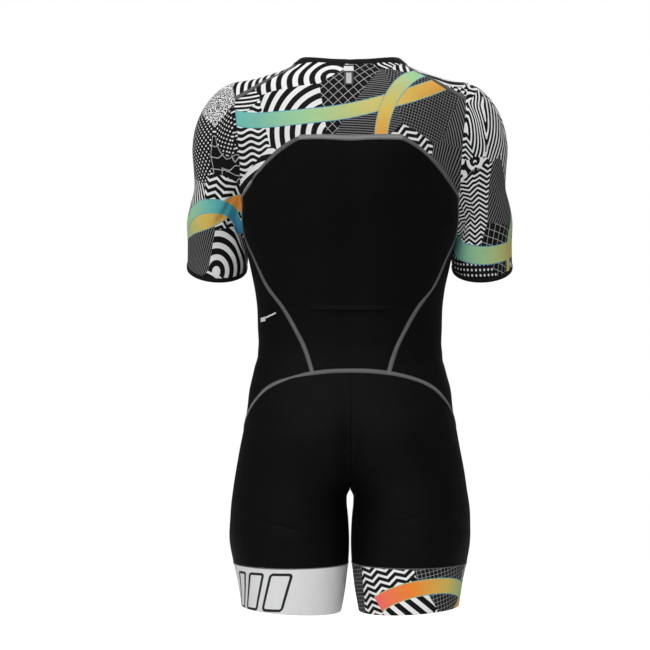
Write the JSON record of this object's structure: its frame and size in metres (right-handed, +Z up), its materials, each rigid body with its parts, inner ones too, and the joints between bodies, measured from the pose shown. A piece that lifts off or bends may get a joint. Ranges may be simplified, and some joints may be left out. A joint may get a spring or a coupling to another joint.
{
  "type": "short-sleeved triathlon suit",
  "caption": "Short-sleeved triathlon suit in the hollow form it has when worn: black body, printed yoke, sleeves and leg band, flatlock seams and a front zip.",
  "frame": {"origin": "midway between the two points where the shoulders meet the neck, on the suit's plane of symmetry, where the wearer's shoulders hold it", "axes": "+Z up, +Y towards the suit's back, +X towards the wearer's left"},
  "size_m": [0.5262, 0.2299, 0.8802],
  "materials": {
    "print_cloth": "printed stretch knit, matt with a slight sheen",
    "black_cloth": "smooth black stretch knit with a soft sheen",
    "white_cloth": "smooth white stretch knit",
    "binding": "folded black elastic binding, matt",
    "label": "woven satin tape",
    "zip_teeth": "black moulded coil zip",
    "zip_metal": "black painted zip slider and pull tab, satin"
  },
  "bodies": {
    "suit": {"back_yoke": "print_cloth", "back_panel": "black_cloth", "back_pocket": "black_cloth", "side_left": "black_cloth", "side_right": "black_cloth", "front_left": "print_cloth", "front_right": "print_cloth", "sleeve_left": "print_cloth", "sleeve_right": "print_cloth", "cuff_left": "binding", "cuff_right": "binding", "neck_binding": "binding", "leg_left": "black_cloth", "leg_right": "black_cloth", "leg_band_left": "white_cloth", "leg_band_right": "print_cloth", "neck_label": "label", "zip_chain": "zip_teeth", "zip_slider": "zip_metal"},
    "pull_tab": {"zip_pull": "zip_metal"}
  },
  "joints": [
    {"name": "pull_swing", "type": "hinge", "parent": "suit", "child": "pull_tab", "pos_m": [0, -0.09002, -0.07991], "axis": [-1, 0, 0], "range_deg": [0, 140]}
  ]
}
